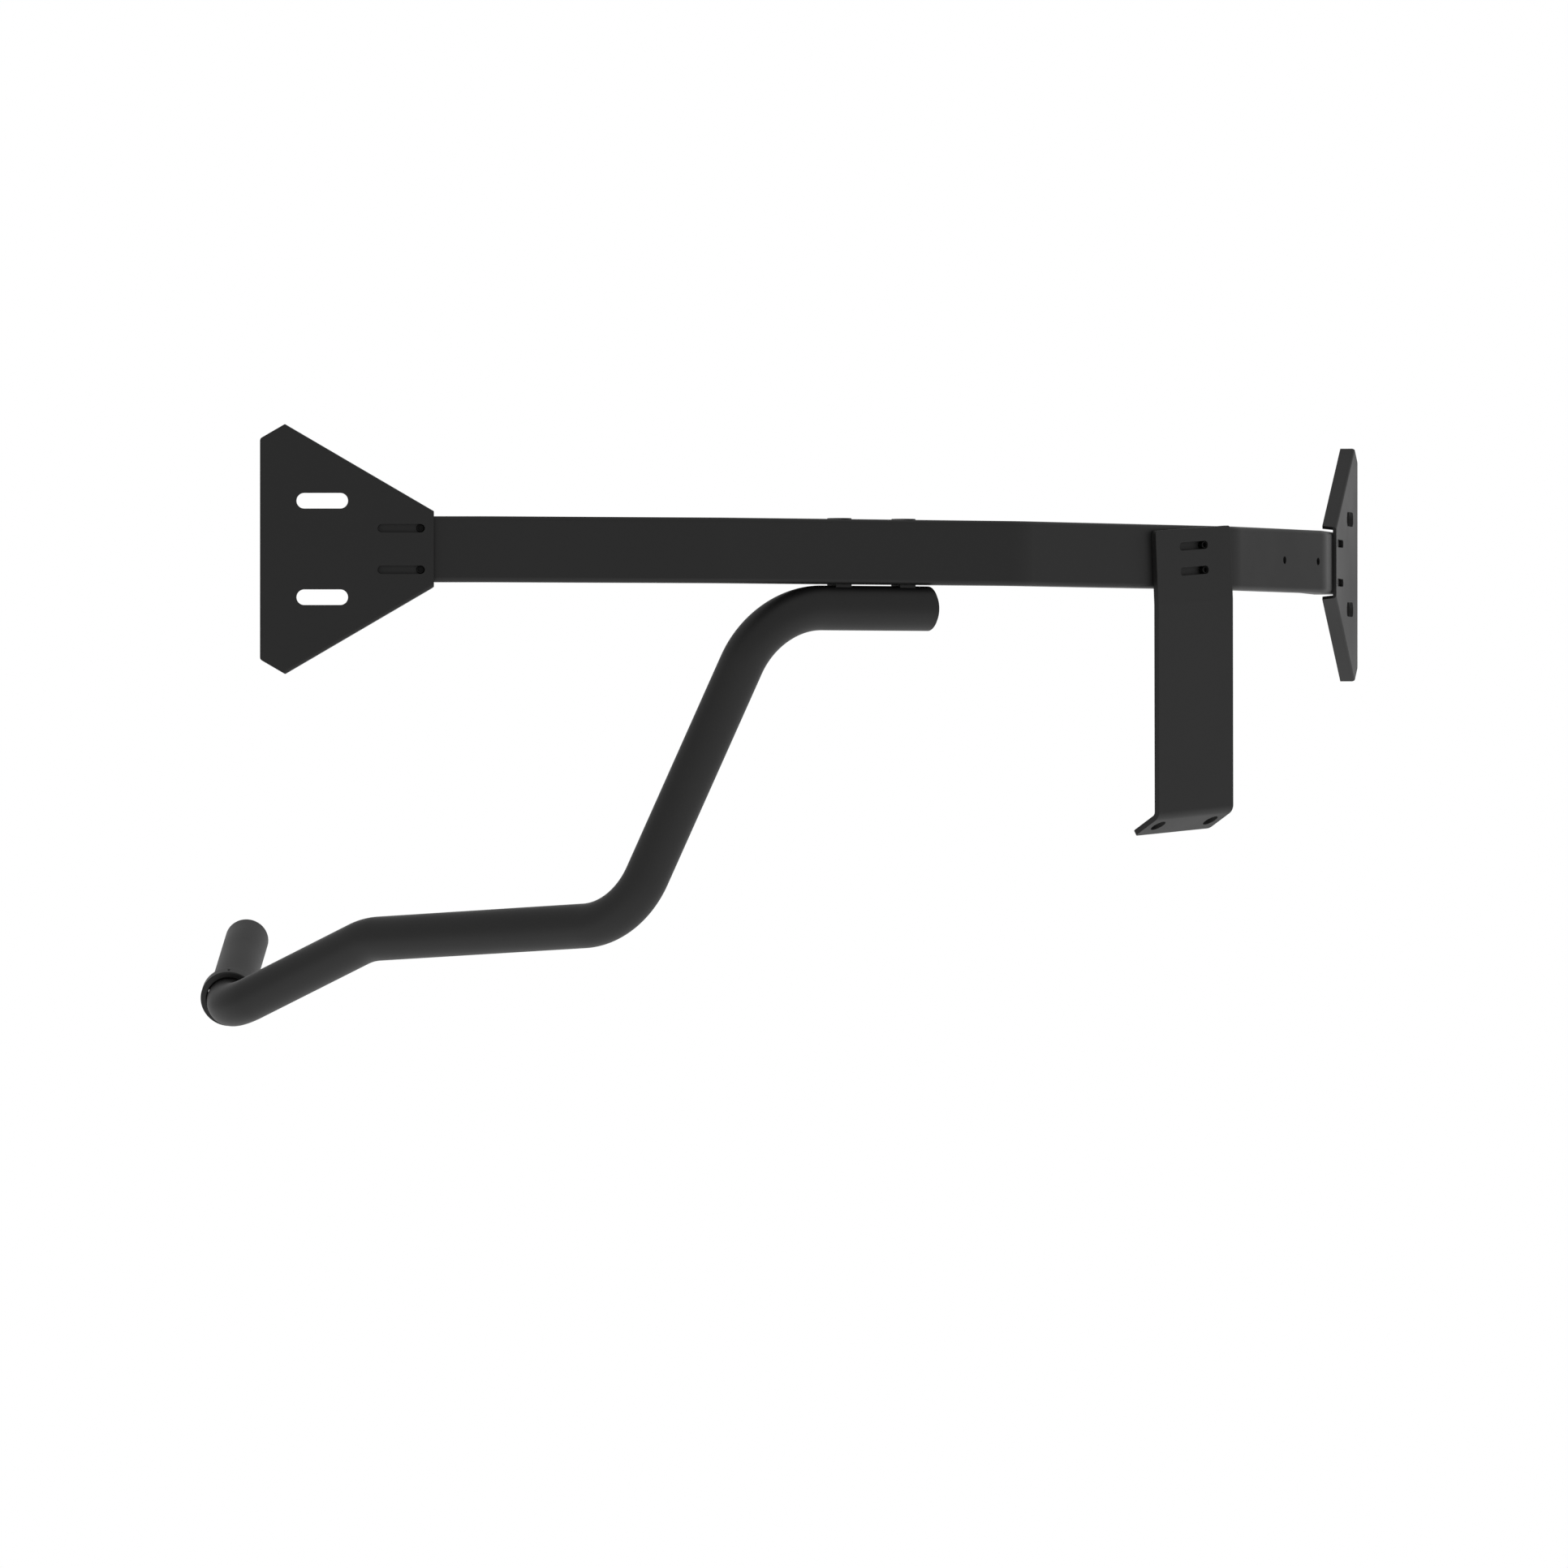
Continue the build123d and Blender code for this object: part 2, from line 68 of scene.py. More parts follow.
print("whole object, metres:", [round(b - a, 3) for a, b in zip(cad_low, cad_high)])

# %% [markdown]
# The camera comes first, because every later choice is judged through it. It could stand close
# by with a short lens, but then the near end would swell and the far end would shrink. So it
# stands a long way back with a long lens, square to the left wall plate. It is held level,
# which keeps upright edges upright. Places are in metres; the lens and its sensor are in
# millimetres.

# %% Place the camera
CAMERA_X = 0.356
CAMERA_HEIGHT = -0.1812
CAMERA_DISTANCE = 9.791
LENS = 291.6
SENSOR = 36.0
FARTHEST_SEEN = 100.0

camera_data = bpy.data.cameras.new("catalogue_camera")
camera_data.lens = LENS
camera_data.sensor_width = SENSOR
camera_data.clip_end = FARTHEST_SEEN
camera = bpy.data.objects.new("catalogue_camera", camera_data)
camera.location = (CAMERA_X, -CAMERA_DISTANCE, CAMERA_HEIGHT)
camera.rotation_euler = (math.radians(90), 0, 0)
bpy.context.scene.collection.objects.link(camera)
bpy.context.scene.camera = camera
print("camera at", tuple(round(v, 3) for v in camera.location))

# %% [markdown]
# Black things are hard to light, because most of what the eye reads is what they mirror. A few
# lamps could do it, but each one would draw a hard streak along the tubes. So the room itself
# gives the light: an even, dim grey, with one bright wall behind the object. A face that looks
# back at the camera mirrors the dim room and stays dark. The more a face is turned edge-on, the
# more it mirrors the bright wall, so the bends of the bar grade from dark to light by
# themselves.
#
# The world is told how bright it is in each direction. Y is the share of a direction that
# points at the wall, and is 1 straight towards it. The wall is at its full brightness where Y
# is above WALL_FADES_FROM, there is only the room where Y is below WALL_FADES_TO, and in
# between the one fades into the other.

# %% Light the room
ROOM_BRIGHTNESS = 0.46
WALL_BRIGHTNESS = 1.0
WALL_FADES_FROM = 0.97
WALL_FADES_TO = 0.74

room = bpy.data.worlds.new("dim_room_bright_wall")
room.use_nodes = True
room_tree = room.node_tree
room_light = room_tree.nodes["Background"]
towards = room_tree.nodes.new("ShaderNodeTexCoord")
split = room_tree.nodes.new("ShaderNodeSeparateXYZ")
fade = room_tree.nodes.new("ShaderNodeMapRange")
fade.interpolation_type = "SMOOTHSTEP"
fade.inputs["From Min"].default_value = WALL_FADES_TO
fade.inputs["From Max"].default_value = WALL_FADES_FROM
fade.inputs["To Min"].default_value = ROOM_BRIGHTNESS
fade.inputs["To Max"].default_value = WALL_BRIGHTNESS
room_tree.links.new(towards.outputs["Generated"], split.inputs["Vector"])
room_tree.links.new(split.outputs["Y"], fade.inputs["Value"])
room_tree.links.new(fade.outputs["Result"], room_light.inputs["Strength"])
room_light.inputs["Color"].default_value = (1, 1, 1, 1)
bpy.context.scene.world = room
bpy.context.scene.view_settings.view_transform = "Standard"
bpy.context.scene.view_settings.look = "None"
print("room", ROOM_BRIGHTNESS, "wall", WALL_BRIGHTNESS)

# %% [markdown]
# The room alone favours neither tops nor undersides. A small lamp overhead would part them,
# but with hard highlights. A wide, weak panel does it softly, because a highlight is a
# reflection of the lamp and grows as soft as the lamp is large.

# %% Hang the panel
PANEL_SIZE = 3.0
PANEL_POWER = 3.0
PANEL_PLACE = Vector((0.2, -1.2, 3.2))

panel_data = bpy.data.lights.new("overhead_panel", "AREA")
panel_data.size = PANEL_SIZE
panel_data.energy = PANEL_POWER
panel = bpy.data.objects.new("overhead_panel", panel_data)
panel.location = PANEL_PLACE
middle = (cad_low + cad_high) / 2
panel.rotation_euler = (middle - PANEL_PLACE).to_track_quat("-Z", "Y").to_euler()
bpy.context.scene.collection.objects.link(panel)
print("panel", PANEL_SIZE, "m wide,", PANEL_POWER, "W, at", tuple(PANEL_PLACE))

# %% [markdown]
# Every operator acts on whatever is selected, and loading the frame leaves its parts selected.
# So these helpers clear the selection, pick one object, and go in and out of edit mode.

# %% Helpers for selecting
def deselect_all():
    for item in bpy.context.selected_objects:
        item.select_set(False)
    bpy.context.view_layer.objects.active = None


def pick(piece):
    deselect_all()
    piece.select_set(True)
    bpy.context.view_layer.objects.active = piece


def edit(piece):
    pick(piece)
    bpy.ops.object.mode_set(mode="EDIT")


def stop_editing():
    bpy.ops.object.mode_set(mode="OBJECT")


deselect_all()
print("selected now:", len(bpy.context.selected_objects))

# %% [markdown]
# In edit mode a hand with a mouse picks faces and points by where they are. Numbers could be
# used instead, as each face and point has one, but they change with every operator. So these
# two pick by place as well: faces by a test, and the open rim of a tube by the flat plane that
# it lies in.

# %% Helpers for picking faces and rims
TINY = 0.02 * MM


def pick_faces(test):
    """In edit mode, selects the faces that pass a test of the face's middle and normal."""
    bpy.ops.mesh.select_mode(type="FACE")
    bpy.ops.mesh.select_all(action="DESELECT")
    mesh = bmesh.from_edit_mesh(bpy.context.object.data)
    for face in mesh.faces:
        face.select_set(test(face.calc_center_median(), face.normal))
    mesh.select_flush_mode()
    bmesh.update_edit_mesh(bpy.context.object.data)
    return sum(face.select for face in mesh.faces)


def pick_rim(centre, direction, reach):
    """In edit mode, selects the ring of points that lies square to a direction."""
    bpy.ops.mesh.select_mode(type="VERT")
    bpy.ops.mesh.select_all(action="DESELECT")
    mesh = bmesh.from_edit_mesh(bpy.context.object.data)
    for point in mesh.verts:
        arm = point.co - centre
        point.select_set(abs(arm.dot(direction)) < TINY and arm.length < reach)
    mesh.select_flush_mode()
    bmesh.update_edit_mesh(bpy.context.object.data)
    return sum(point.select for point in mesh.verts)


print("a point is on a rim within", TINY / MM, "mm of its plane")

# %% [markdown]
# A modifier that stays live would have to be worked out again by whoever opens the model, so
# each one is applied as soon as it is set. A finished piece then gets three things: smooth
# shading that still breaks at real edges, its material, and the body that it moves with. The
# shading is weighted by face area, so that a large flat face keeps its own direction and the
# narrow strips of a bevel do all of the turning.

# %% Helpers for finishing
SMOOTH_UP_TO = math.radians(38)


def apply_modifier(piece, kind, **settings):
    pick(piece)
    modifier = piece.modifiers.new(kind.lower(), kind)
    for setting, value in settings.items():
        setattr(modifier, setting, value)
    bpy.ops.object.modifier_apply(modifier=modifier.name)


def soften_edges(piece, width, segments=2):
    apply_modifier(
        piece,
        "BEVEL",
        width=width,
        segments=segments,
        limit_method="ANGLE",
        angle_limit=SMOOTH_UP_TO,
        use_clamp_overlap=True,
    )


def rest_at_origin(piece):
    pick(piece)
    bpy.ops.object.transform_apply(location=True, rotation=True, scale=True)


def finish_piece(piece, name, material, body, slot, *replaced):
    piece.name = name
    piece.data.name = name
    pick(piece)
    bpy.ops.object.shade_smooth_by_angle(angle=SMOOTH_UP_TO)
    apply_modifier(piece, "WEIGHTED_NORMAL", keep_sharp=True, weight=100)
    piece.data.materials.clear()
    piece.data.materials.append(material)
    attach(piece, body)
    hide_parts(*replaced)
    print(name, "faces:", len(piece.data.polygons), "on body", body)


print("smooth shading up to", round(math.degrees(SMOOTH_UP_TO)), "degrees")

# %% [markdown]
# Each finish on this object is one Principled shader, which is Blender's all-round surface. A
# value that is the same all over is typed on the shader itself. A value that varies is joined
# to a noise. An image could be wrapped round the steel instead, but it would need a seam and
# would blur up close; a noise in object coordinates has neither fault and stays put on the
# steel.

# %% Tools for materials
def new_material(name, **sockets):
    """A material with one Principled shader; sockets are set on the shader itself."""
    material = bpy.data.materials.new(name)
    material.use_nodes = True
    shader = material.node_tree.nodes["Principled BSDF"]
    for socket, value in sockets.items():
        shader.inputs[socket.replace("_", " ")].default_value = value
    return material, material.node_tree, shader


def add_noise(tree, scale, detail=2.0, stretch=(1, 1, 1)):
    place = tree.nodes.new("ShaderNodeTexCoord")
    mapping = tree.nodes.new("ShaderNodeMapping")
    mapping.inputs["Scale"].default_value = stretch
    noise = tree.nodes.new("ShaderNodeTexNoise")
    noise.inputs["Scale"].default_value = scale
    noise.inputs["Detail"].default_value = detail
    tree.links.new(place.outputs["Object"], mapping.inputs["Vector"])
    tree.links.new(mapping.outputs["Vector"], noise.inputs["Vector"])
    return noise.outputs["Fac"]


print("materials that came with the frame:", len(bpy.data.materials))

# %% [markdown]
# A noise is only a number at each spot. A ramp turns it into a colour or a roughness between
# two ends, and a bump turns it into a dent. Dents are for grain that is far finer than the
# steel: whatever has a visible outline is modelled.

# %% Ramps and bumps
def add_ramp(tree, source, low, high, start=0.3, end=0.7):
    """Turns a noise into a colour, or into a grey for roughness, between two values."""
    ramp = tree.nodes.new("ShaderNodeValToRGB")
    ramp.color_ramp.elements[0].position = start
    ramp.color_ramp.elements[1].position = end
    ramp.color_ramp.elements[0].color = (*low, 1)
    ramp.color_ramp.elements[1].color = (*high, 1)
    tree.links.new(source, ramp.inputs["Fac"])
    return ramp.outputs["Color"]


def add_bump(tree, source, depth, below=None):
    bump = tree.nodes.new("ShaderNodeBump")
    bump.inputs["Strength"].default_value = 1.0
    bump.inputs["Distance"].default_value = depth
    tree.links.new(source, bump.inputs["Height"])
    if below:
        tree.links.new(below, bump.inputs["Normal"])
    return bump.outputs["Normal"]


def grey(value):
    return (value, value, value)


print("a middle grey is", grey(0.5))

# %% [markdown]
# Powder coat is a baked plastic skin. Seen close, it isn't smooth: it has the fine dimples of
# orange peel, about a millimetre and a half across, with a finer grain on top. Its shine
# wanders a little, because the powder lies thicker in some places. Its black is never pure: it
# is a very dark, faintly warm grey, a shade lighter where the powder is thin. One even grey
# would look like painted paper up close, so three noises are laid over each other, and from a
# distance they read only as a soft satin.

# %% Black powder coat
PEEL_SCALE = 650.0
GRAIN_SCALE = 2600.0
PATCH_SCALE = 9.0
PEEL_DEPTH = 0.018 * MM
GRAIN_DEPTH = 0.004 * MM
COAT_WHERE_THICK = (0.0088, 0.0087, 0.0086)
COAT_WHERE_THIN = (0.0108, 0.0107, 0.0105)
COAT_SATIN = 0.47
COAT_MATT = 0.56

powder_coat, tree, shader = new_material(
    "black_powder_coat", IOR=1.5, Specular_IOR_Level=0.5
)
patches = add_noise(tree, PATCH_SCALE, detail=5.0)
peel = add_noise(tree, PEEL_SCALE, detail=1.0)
grain = add_noise(tree, GRAIN_SCALE, detail=2.0)
coat_colour = add_ramp(tree, patches, COAT_WHERE_THICK, COAT_WHERE_THIN)
coat_shine = add_ramp(tree, patches, grey(COAT_SATIN), grey(COAT_MATT))
tree.links.new(coat_colour, shader.inputs["Base Color"])
tree.links.new(coat_shine, shader.inputs["Roughness"])
dimples = add_bump(tree, peel, PEEL_DEPTH)
tree.links.new(add_bump(tree, grain, GRAIN_DEPTH, below=dimples), shader.inputs["Normal"])
print("orange peel about", round(1000 / PEEL_SCALE, 2), "mm across")

# %% [markdown]
# Black screws are oxidised or plated steel: metal, so they mirror more than the coat does, with
# a faint roughness left by the tool. They stay darker than bare steel because the oxide
# swallows the light. The coat's material could be used for them too, but then a screw would
# vanish into the plate behind it.

# %% Black fastener finish
MOTTLE_SCALE = 240.0
TOOLING_SCALE = 1800.0
TOOLING_DEPTH = 0.006 * MM

fastener_black, tree, shader = new_material(
    "black_oxide_steel", Metallic=0.75, IOR=1.5, Specular_IOR_Level=0.4
)
mottle = add_noise(tree, MOTTLE_SCALE, detail=4.0)
tree.links.new(add_ramp(tree, mottle, grey(0.010), grey(0.022)), shader.inputs["Base Color"])
tree.links.new(add_ramp(tree, mottle, grey(0.34), grey(0.48)), shader.inputs["Roughness"])
tooling = add_noise(tree, TOOLING_SCALE, detail=2.0)
tree.links.new(add_bump(tree, tooling, TOOLING_DEPTH), shader.inputs["Normal"])
print("tool marks about", round(1000 / TOOLING_SCALE, 2), "mm across")

# %% [markdown]
# The nuts and the sleeves hidden inside the tubes are zinc plated: a light, slightly blue
# metal with the cloudy look that plating has. One noise does for its colour, its shine and its
# unevenness alike, because in real plating all three change in the same places.

# %% Zinc plating
CLOUD_SCALE = 120.0
CLOUD_DEPTH = 0.01 * MM
ZINC_DULL = (0.46, 0.47, 0.49)
ZINC_BRIGHT = (0.62, 0.63, 0.66)

zinc_plate, tree, shader = new_material("zinc_plate", Metallic=1.0)
clouds = add_noise(tree, CLOUD_SCALE, detail=6.0)
zinc_colour = add_ramp(tree, clouds, ZINC_DULL, ZINC_BRIGHT)
tree.links.new(zinc_colour, shader.inputs["Base Color"])
tree.links.new(add_ramp(tree, clouds, grey(0.28), grey(0.42)), shader.inputs["Roughness"])
tree.links.new(add_bump(tree, clouds, CLOUD_DEPTH), shader.inputs["Normal"])
print("clouds in the plating about", round(1000 / CLOUD_SCALE), "mm across")

# %% [markdown]
# The caps are moulded polyethylene. A mould that has been spark-eroded leaves a fine, even
# texture, and the plastic is duller than the coat beside it. That difference is small, but it
# is what tells the eye that a cap is another piece, so the caps don't share the coat.

# %% Moulded cap plastic
SPARK_SCALE = 1500.0
SPARK_DEPTH = 0.012 * MM
FLOW_SCALE = 60.0
PLASTIC_DARK = (0.0105, 0.0107, 0.011)
PLASTIC_LIGHT = (0.0135, 0.0137, 0.014)

cap_plastic, tree, shader = new_material(
    "moulded_black_plastic", IOR=1.46, Specular_IOR_Level=0.28
)
spark_texture = add_noise(tree, SPARK_SCALE, detail=3.0)
flow = add_noise(tree, FLOW_SCALE, detail=3.0)
tree.links.new(add_ramp(tree, flow, PLASTIC_DARK, PLASTIC_LIGHT), shader.inputs["Base Color"])
tree.links.new(add_ramp(tree, flow, grey(0.52), grey(0.62)), shader.inputs["Roughness"])
tree.links.new(add_bump(tree, spark_texture, SPARK_DEPTH), shader.inputs["Normal"])
print("materials:", [m.name for m in (powder_coat, fastener_black, zinc_plate, cap_plastic)])

# %% [markdown]
# The arm is one long round tube with four bends. On the real one, a straight tube is clamped
# round a former, so each bend is a true arc and the section stays a circle. It could be a
# curve with a round profile, but a ring of points that is extruded along each straight run and
# spun round each bend is the same motion as the bender's, and it keeps every ring square.
# First come the bender's settings. Each run has a length from corner to corner, a heading in
# degrees seen from above, and a climb in degrees. Each bend has a radius.

# %% The arm's route
TUBE_RADIUS = 17.5 * MM
TUBE_WALL = 2.5 * MM
CROSSBAR_HEADING = 30.0
BOLTS_TO_PLAIN_END = 51.0 * MM
RING_POINTS = 96

RUNS = [
    (145.2 * MM, 180 + CROSSBAR_HEADING, 0.0),
    (271.4 * MM, 163.6, -65.0),
    (257.4 * MM, 143.3, -3.2),
    (159.3 * MM, 142.4, -21.7),
    (182.0 * MM, 86.7, 17.7),
]
BEND_RADII = [66.0 * MM, 66.0 * MM, 66.0 * MM, 46.0 * MM]


def heading_vector(heading, climb):
    level = math.cos(math.radians(climb))
    turn = math.radians(heading)
    return Vector((level * math.cos(turn), level * math.sin(turn), math.sin(math.radians(climb))))


directions = [heading_vector(heading, climb) for _, heading, climb in RUNS]
bolts_low, bolts_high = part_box("arm_bolts")
cap_low, cap_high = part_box("arm_tube_cap")
arm_start = (bolts_low + bolts_high) / 2 - directions[0] * BOLTS_TO_PLAIN_END
arm_start.z = (cap_low.z + cap_high.z) / 2
print("plain end of the arm:", [round(v, 4) for v in arm_start])

# %% [markdown]
# A bend eats into the runs beside it: by its radius times the tangent of half its turn. What
# is left of each run is straight tube. The straights could be typed in as well, but worked out
# like this they stay right when a run or a radius changes.

# %% Work out the bends
turns = [a.angle(b) for a, b in zip(directions, directions[1:])]
setbacks = [radius * math.tan(turn / 2) for radius, turn in zip(BEND_RADII, turns)]
before = [0.0] + setbacks
after = setbacks + [0.0]
straights = [run[0] - a - b for run, a, b in zip(RUNS, before, after)]
for turn, straight in zip(turns, straights):
    print("straight", round(straight / MM), "mm, then turn", round(math.degrees(turn)), "degrees")

# %% [markdown]
# The tube starts as one ring of points, square to the first run. A filled disc would leave a
# wall across the tube, so the ring has no face.

# %% Draw the first ring
deselect_all()
bpy.ops.mesh.primitive_circle_add(
    vertices=RING_POINTS,
    radius=TUBE_RADIUS,
    fill_type="NOTHING",
    location=arm_start,
    rotation=directions[0].to_track_quat("Z", "Y").to_euler(),
)
arm = bpy.context.object
rest_at_origin(arm)
print("points in the ring:", len(arm.data.vertices))

# %% [markdown]
# Each straight is one extrusion. Each bend is one spin about an axis that stands square to both
# runs. The spin tool counts its angle clockwise as seen from the tip of its axis, so the turn
# is given as a minus. The ring at the end of the bend is picked again by where it must be,
# which also proves that the spin went the right way.

# %% Bend the arm
STEPS_PER_DEGREE = 0.5
FEWEST_STEPS = 8

edit(arm)
bpy.ops.mesh.select_all(action="SELECT")
here = arm_start.copy()
for index, (direction, straight) in enumerate(zip(directions, straights)):
    step = direction * straight
    bpy.ops.mesh.extrude_region_move(TRANSFORM_OT_translate={"value": step})
    here += step
    if index == len(turns):
        break
    turn, radius = turns[index], BEND_RADII[index]
    axis = direction.cross(directions[index + 1]).normalized()
    centre = here + axis.cross(direction) * radius
    pick_rim(here, direction, 2 * TUBE_RADIUS)
    steps = max(FEWEST_STEPS, round(math.degrees(turn) * STEPS_PER_DEGREE))
    bpy.ops.mesh.spin(steps=steps, angle=-turn, center=centre, axis=axis)
    here = centre + Quaternion(axis, turn) @ (here - centre)
    found = pick_rim(here, directions[index + 1], 2 * TUBE_RADIUS)
    print("bend", index + 1, "ends on a ring of", found, "points")

# %% [markdown]
# A spin can leave points on top of each other, and it can turn a skin inside out. These spins
# leave no doubles, but merging them is a cheap safeguard. The skin is turned outwards while it
# is still a single sheet, and only then gets the thickness of the tube, inwards. A second,
# smaller tube cut out of the first would give the same wall, but it would have to follow the
# same route again.

# %% Give the tube its wall
bpy.ops.mesh.select_all(action="SELECT")
bpy.ops.mesh.remove_doubles(threshold=TINY)
bpy.ops.mesh.normals_make_consistent(inside=False)
stop_editing()
grip_end = here.copy()
print("skin of the arm:", len(arm.data.vertices), "points")
apply_modifier(arm, "SOLIDIFY", thickness=TUBE_WALL, offset=-1.0, use_even_offset=True)
finish_piece(arm, "arm_smooth_tube", powder_coat, "bar", "black_powder_coat", "arm_tube")

# %% [markdown]
# A route that is typed in can drift from the model that it follows, and the eye forgives a few
# millimetres. A measure doesn't. So the box round the new tube is compared with the box round
# the frame's own, corner by corner.

# %% Check the arm against the frame
tube_low, tube_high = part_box("arm_tube")
made_low = Vector([min(v.co[i] for v in arm.data.vertices) for i in range(3)])
made_high = Vector([max(v.co[i] for v in arm.data.vertices) for i in range(3)])
print("low corner off by, mm:", [round((a - b) / MM, 2) for a, b in zip(made_low, tube_low)])
print("high corner off by, mm:", [round((a - b) / MM, 2) for a, b in zip(made_high, tube_high)])

# %% [markdown]
# Each open end of the arm is shut by a round plastic cap: a thin flange as wide as the tube,
# and a plug that grips the bore. Half its outline could be drawn and spun round, but it is
# quicker to start from a cylinder for the plug. Its outer face is spread to the flange's width
# and extruded in two steps, and the rim is rounded, as the mould would leave it. The face is
# then inset and sunk by a hair, for the shallow dish that these caps have.

# %% Round caps
FLANGE = 2.0 * MM
FLANGE_ROUND = 0.9 * MM
PLUG_DEPTH = 14.0 * MM
PLUG_CLEARANCE = 0.1 * MM
PLUG_RADIUS = TUBE_RADIUS - TUBE_WALL - PLUG_CLEARANCE
DISH_DEPTH = 0.5 * MM
DISH_BORDER = 4.5 * MM
NEARLY_THE_SAME_WAY = 0.9


def make_round_cap(name, end, outward, replaced):
    deselect_all()
    bpy.ops.mesh.primitive_cylinder_add(
        vertices=RING_POINTS,
        radius=PLUG_RADIUS,
        depth=PLUG_DEPTH,
        location=end - outward * (PLUG_DEPTH / 2),
        rotation=outward.to_track_quat("Z", "Y").to_euler(),
    )
    cap = bpy.context.object
    rest_at_origin(cap)
    edit(cap)
    pick_faces(lambda spot, normal: normal.dot(outward) > NEARLY_THE_SAME_WAY)
    bpy.ops.mesh.inset(thickness=PLUG_RADIUS - TUBE_RADIUS)
    bpy.ops.mesh.extrude_region_move(
        TRANSFORM_OT_translate={"value": outward * (FLANGE - FLANGE_ROUND)}
    )
    bpy.ops.mesh.extrude_region_move(TRANSFORM_OT_translate={"value": outward * FLANGE_ROUND})
    bpy.ops.mesh.inset(thickness=FLANGE_ROUND)
    bpy.ops.mesh.inset(thickness=DISH_BORDER)
    bpy.ops.mesh.inset(thickness=DISH_DEPTH, depth=-DISH_DEPTH)
    stop_editing()
    soften_edges(cap, FLANGE_ROUND / 2, segments=3)
    finish_piece(cap, name, cap_plastic, "bar", "black_plastic", replaced)


make_round_cap("arm_plain_end_cap", arm_start, -directions[0], "arm_tube_cap")
make_round_cap("grip_round_end_cap", grip_end, directions[-1], "grip_end_cap")

# %% [markdown]
# The stop ring is a turned collar slid up to the last bend, where it stops the hand. A torus
# would be the quick choice, but it is round all over, and a turned collar has a flat outer
# face. So a short cylinder with no ends is its outer skin, a wall thickness turns it into a
# ring, and its rims are rounded.

# %% Stop ring
RING_RADIUS = 23.0 * MM
RING_WIDTH = 12.0 * MM
RING_CLEARANCE = 0.3 * MM
RING_BORE = TUBE_RADIUS + RING_CLEARANCE
RING_ROUND = 1.2 * MM

grip_axis = directions[-1]
last_corner = grip_end - grip_axis * RUNS[-1][0]
ring_middle = last_corner + grip_axis * (setbacks[-1] + RING_WIDTH / 2)
deselect_all()
bpy.ops.mesh.primitive_cylinder_add(
    vertices=RING_POINTS,
    radius=RING_RADIUS,
    depth=RING_WIDTH,
    end_fill_type="NOTHING",
    location=ring_middle,
    rotation=grip_axis.to_track_quat("Z", "Y").to_euler(),
)
ring = bpy.context.object
rest_at_origin(ring)
apply_modifier(
    ring, "SOLIDIFY", thickness=RING_RADIUS - RING_BORE, offset=-1.0, use_even_offset=True
)
soften_edges(ring, RING_ROUND, segments=5)
print("ring wall:", round((RING_RADIUS - RING_BORE) / MM, 2), "mm")

# %% [markdown]
# A grub screw holds the ring. Its hole could be left out, with the screw's end showing as a
# disc, but a real hole has a rim and a shadow. A thin cylinder stands for the drill, and a
# boolean takes it out of the ring. It points to where the frame has the screw.

# %% Drill the ring
SCREW_HOLE = 2.55 * MM
DRILL_POINTS = 32

screw_low, screw_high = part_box("stop_ring_screw")
screw_middle = (screw_low + screw_high) / 2
screw_out = screw_middle - ring_middle
screw_out = (screw_out - grip_axis * screw_out.dot(grip_axis)).normalized()
deselect_all()
bpy.ops.mesh.primitive_cylinder_add(
    vertices=DRILL_POINTS,
    radius=SCREW_HOLE,
    depth=RING_RADIUS,
    location=ring_middle + screw_out * RING_RADIUS,
    rotation=screw_out.to_track_quat("Z", "Y").to_euler(),
)
drill = bpy.context.object
apply_modifier(ring, "BOOLEAN", operation="DIFFERENCE", object=drill, solver="EXACT")
bpy.data.objects.remove(drill)
finish_piece(
    ring, "grip_turned_stop_ring", powder_coat, "bar", "black_powder_coat", "grip_stop_ring"
)

# %% [markdown]
# The crossbar, the plates, the bracket and the small hardware already have their true shape in
# the frame, down to each slot, but their edges are knife-sharp. Powder never leaves such an
# edge: it draws back from a corner and rounds it, by about a third of a millimetre. The sheets
# could be cut and folded again here, but that would gain nothing except a chance to miss a
# slot. So each one is copied, its loose triangles are joined, its flat faces are cleaned, and
# its edges are rounded by a bevel. The frame's own mesh isn't touched.

# %% Copy and soften
WELD_DISTANCE = 0.005 * MM
FLAT_WITHIN = math.radians(0.4)


def soften_copy(node, body, slot, material, edge):
    mesh = nodes[node].data.copy()
    piece = bpy.data.objects.new(node + "_finished", mesh)
    bpy.context.scene.collection.objects.link(piece)
    edit(piece)
    bpy.ops.mesh.select_all(action="SELECT")
    bpy.ops.mesh.remove_doubles(threshold=WELD_DISTANCE)
    bpy.ops.mesh.dissolve_limited(angle_limit=FLAT_WITHIN)
    stop_editing()
    soften_edges(piece, edge)
    finish_piece(piece, node + "_finished", material, body, slot, node)


EDGE_OF_SHEET = 0.35 * MM
EDGE_OF_TUBE = 0.25 * MM
soften_copy("left_wall_plate", "left_plate", "black_powder_coat", powder_coat, EDGE_OF_SHEET)
soften_copy("right_wall_plate", "right_plate", "black_powder_coat", powder_coat, EDGE_OF_SHEET)
soften_copy("hanger_bracket", "hanger", "black_powder_coat", powder_coat, EDGE_OF_SHEET)
soften_copy("crossbar", "bar", "black_powder_coat", powder_coat, EDGE_OF_TUBE)

# %% [markdown]
# The small hardware gets the same care at its own scale, as a bevel that suits a plate would
# blunt a screw. The caps at the ends of the crossbar are moulded plastic, the screws, the
# bolts and the washers are black, and the saddles under the crossbar are coated like it.

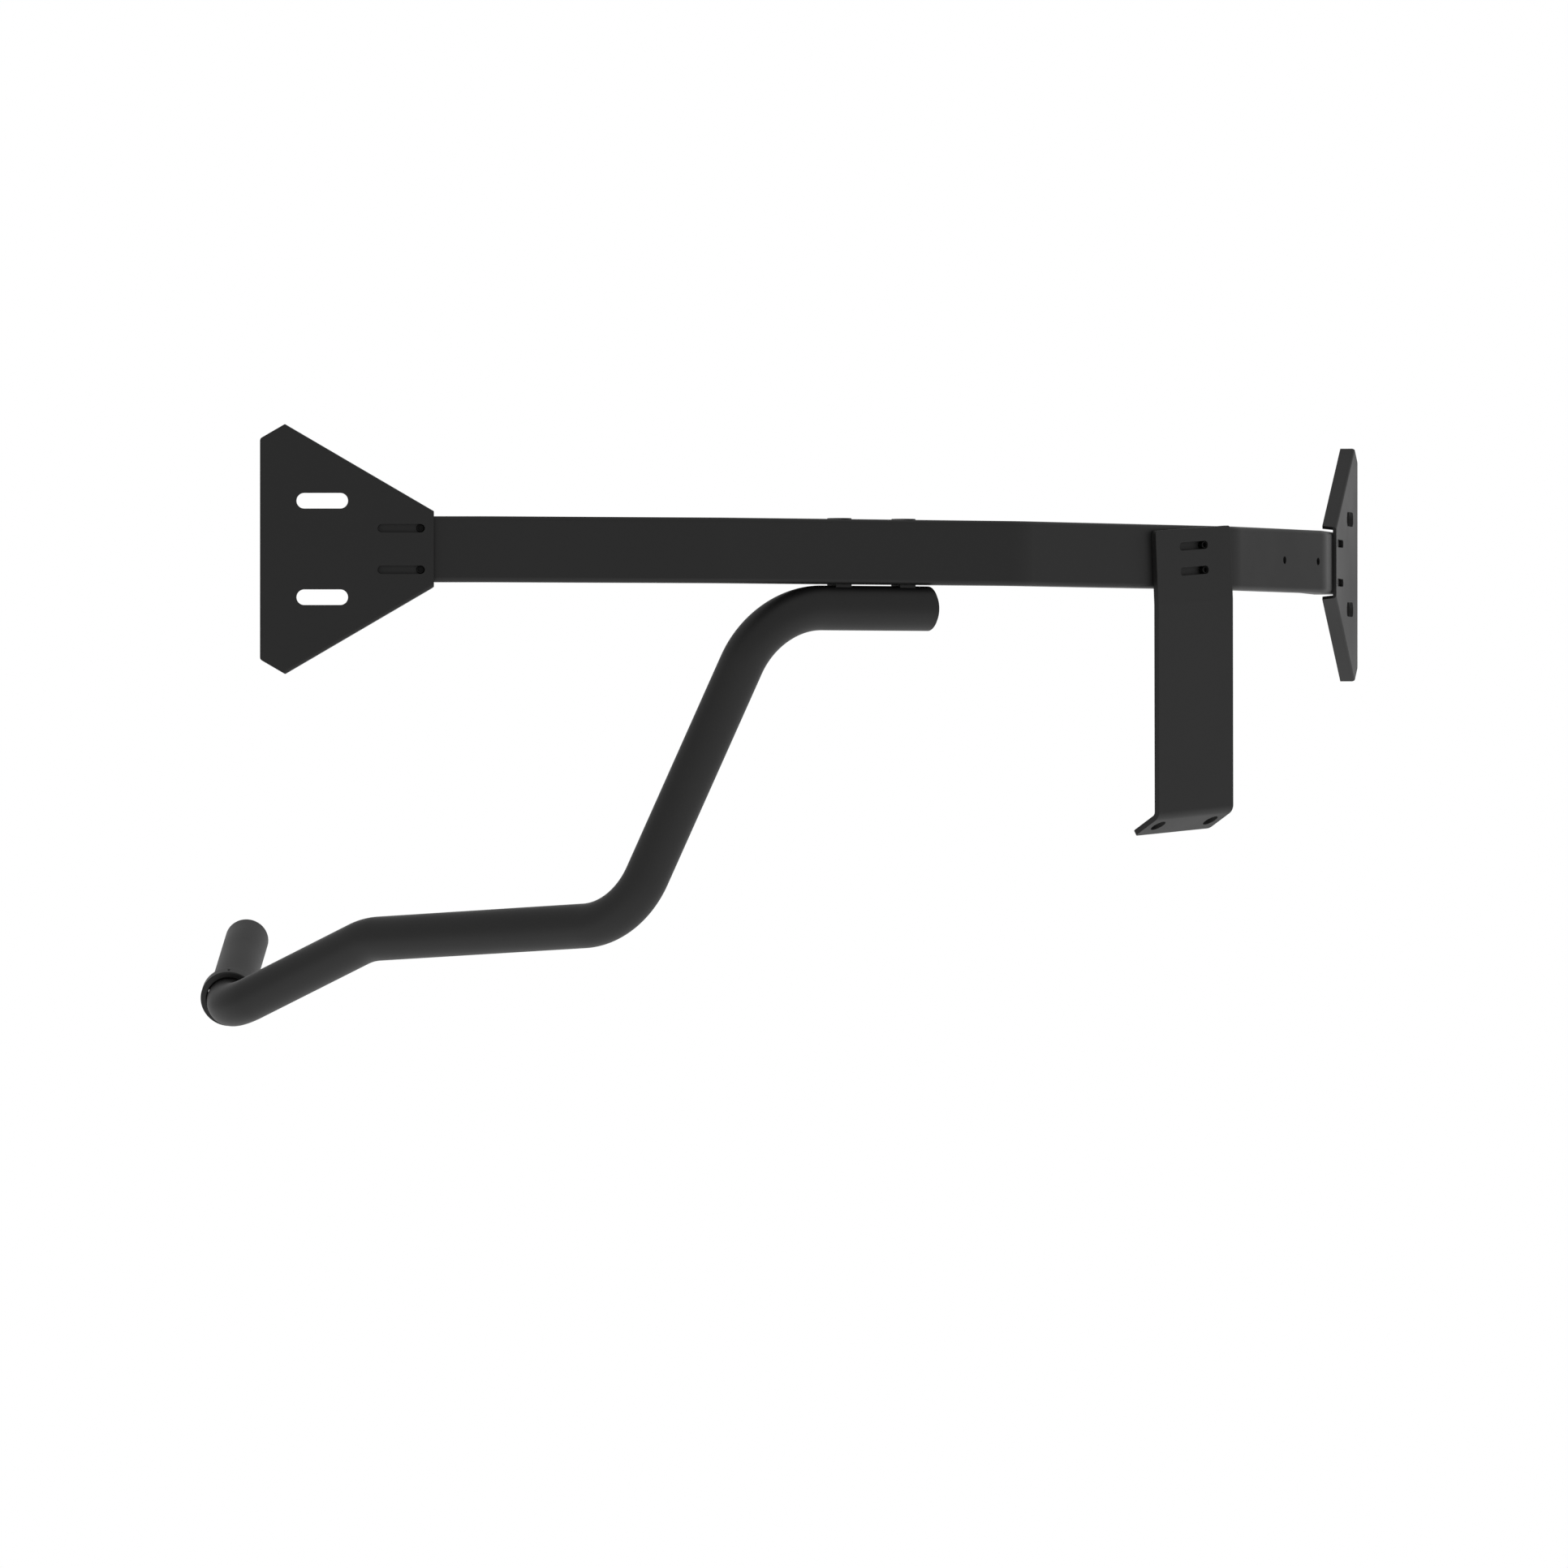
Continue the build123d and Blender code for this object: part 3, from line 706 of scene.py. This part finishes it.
# %% Small hardware
EDGE_OF_CAP = 0.3 * MM
EDGE_OF_SCREW = 0.12 * MM

for node in ("crossbar_left_cap", "crossbar_right_cap", "access_hole_caps"):
    soften_copy(node, "bar", "black_plastic", cap_plastic, EDGE_OF_CAP)
for place in ("left_plate", "right_plate", "bracket"):
    soften_copy(place + "_screws", "bar", "black_fasteners", fastener_black, EDGE_OF_SCREW)
    soften_copy(place + "_washers", "bar", "black_fasteners", fastener_black, EDGE_OF_SCREW)
for node in ("stop_ring_screw", "arm_bolts"):
    soften_copy(node, "bar", "black_fasteners", fastener_black, EDGE_OF_SCREW)
soften_copy("arm_saddles", "bar", "black_powder_coat", powder_coat, EDGE_OF_TUBE)

# %% [markdown]
# The sleeves and the nuts are sealed inside the tubes. They could be bevelled like the rest, but
# nobody will see them, so their frame shapes stay as they are and only take their plating.

# %% Plate the hidden parts
for node in sorted(nodes):
    if node.endswith("_crush_sleeves") or node == "arm_nuts":
        nodes[node].data.materials.clear()
        nodes[node].data.materials.append(zinc_plate)
        print("plated:", node)

# %% [markdown]
# The object hangs on walls that aren't shown. A wide, pale floor lies well below it. A plain
# one would send too little light back up, and the undersides would lose their shape. This one
# is a light table: it has a weak glow of its own.

# %% Lay the floor
FLOOR_DROP = 0.75
FLOOR_SIZE = 7.0
FLOOR_GLOW = 0.35
SPECKLE_SCALE = 3.0

deselect_all()
bpy.ops.mesh.primitive_plane_add(
    size=FLOOR_SIZE, location=(middle.x, middle.y, cad_low.z - FLOOR_DROP)
)
floor = bpy.context.object
floor.name = "studio_floor"
floor_paint, tree, shader = new_material(
    "pale_floor",
    Roughness=0.9,
    Specular_IOR_Level=0.1,
    Emission_Color=(1, 1, 1, 1),
    Emission_Strength=FLOOR_GLOW,
)
speckle = add_noise(tree, SPECKLE_SCALE, detail=3.0)
tree.links.new(add_ramp(tree, speckle, grey(0.86), grey(0.90)), shader.inputs["Base Color"])
floor.data.materials.append(floor_paint)
print("floor at", round(floor.location.z, 3), "m")
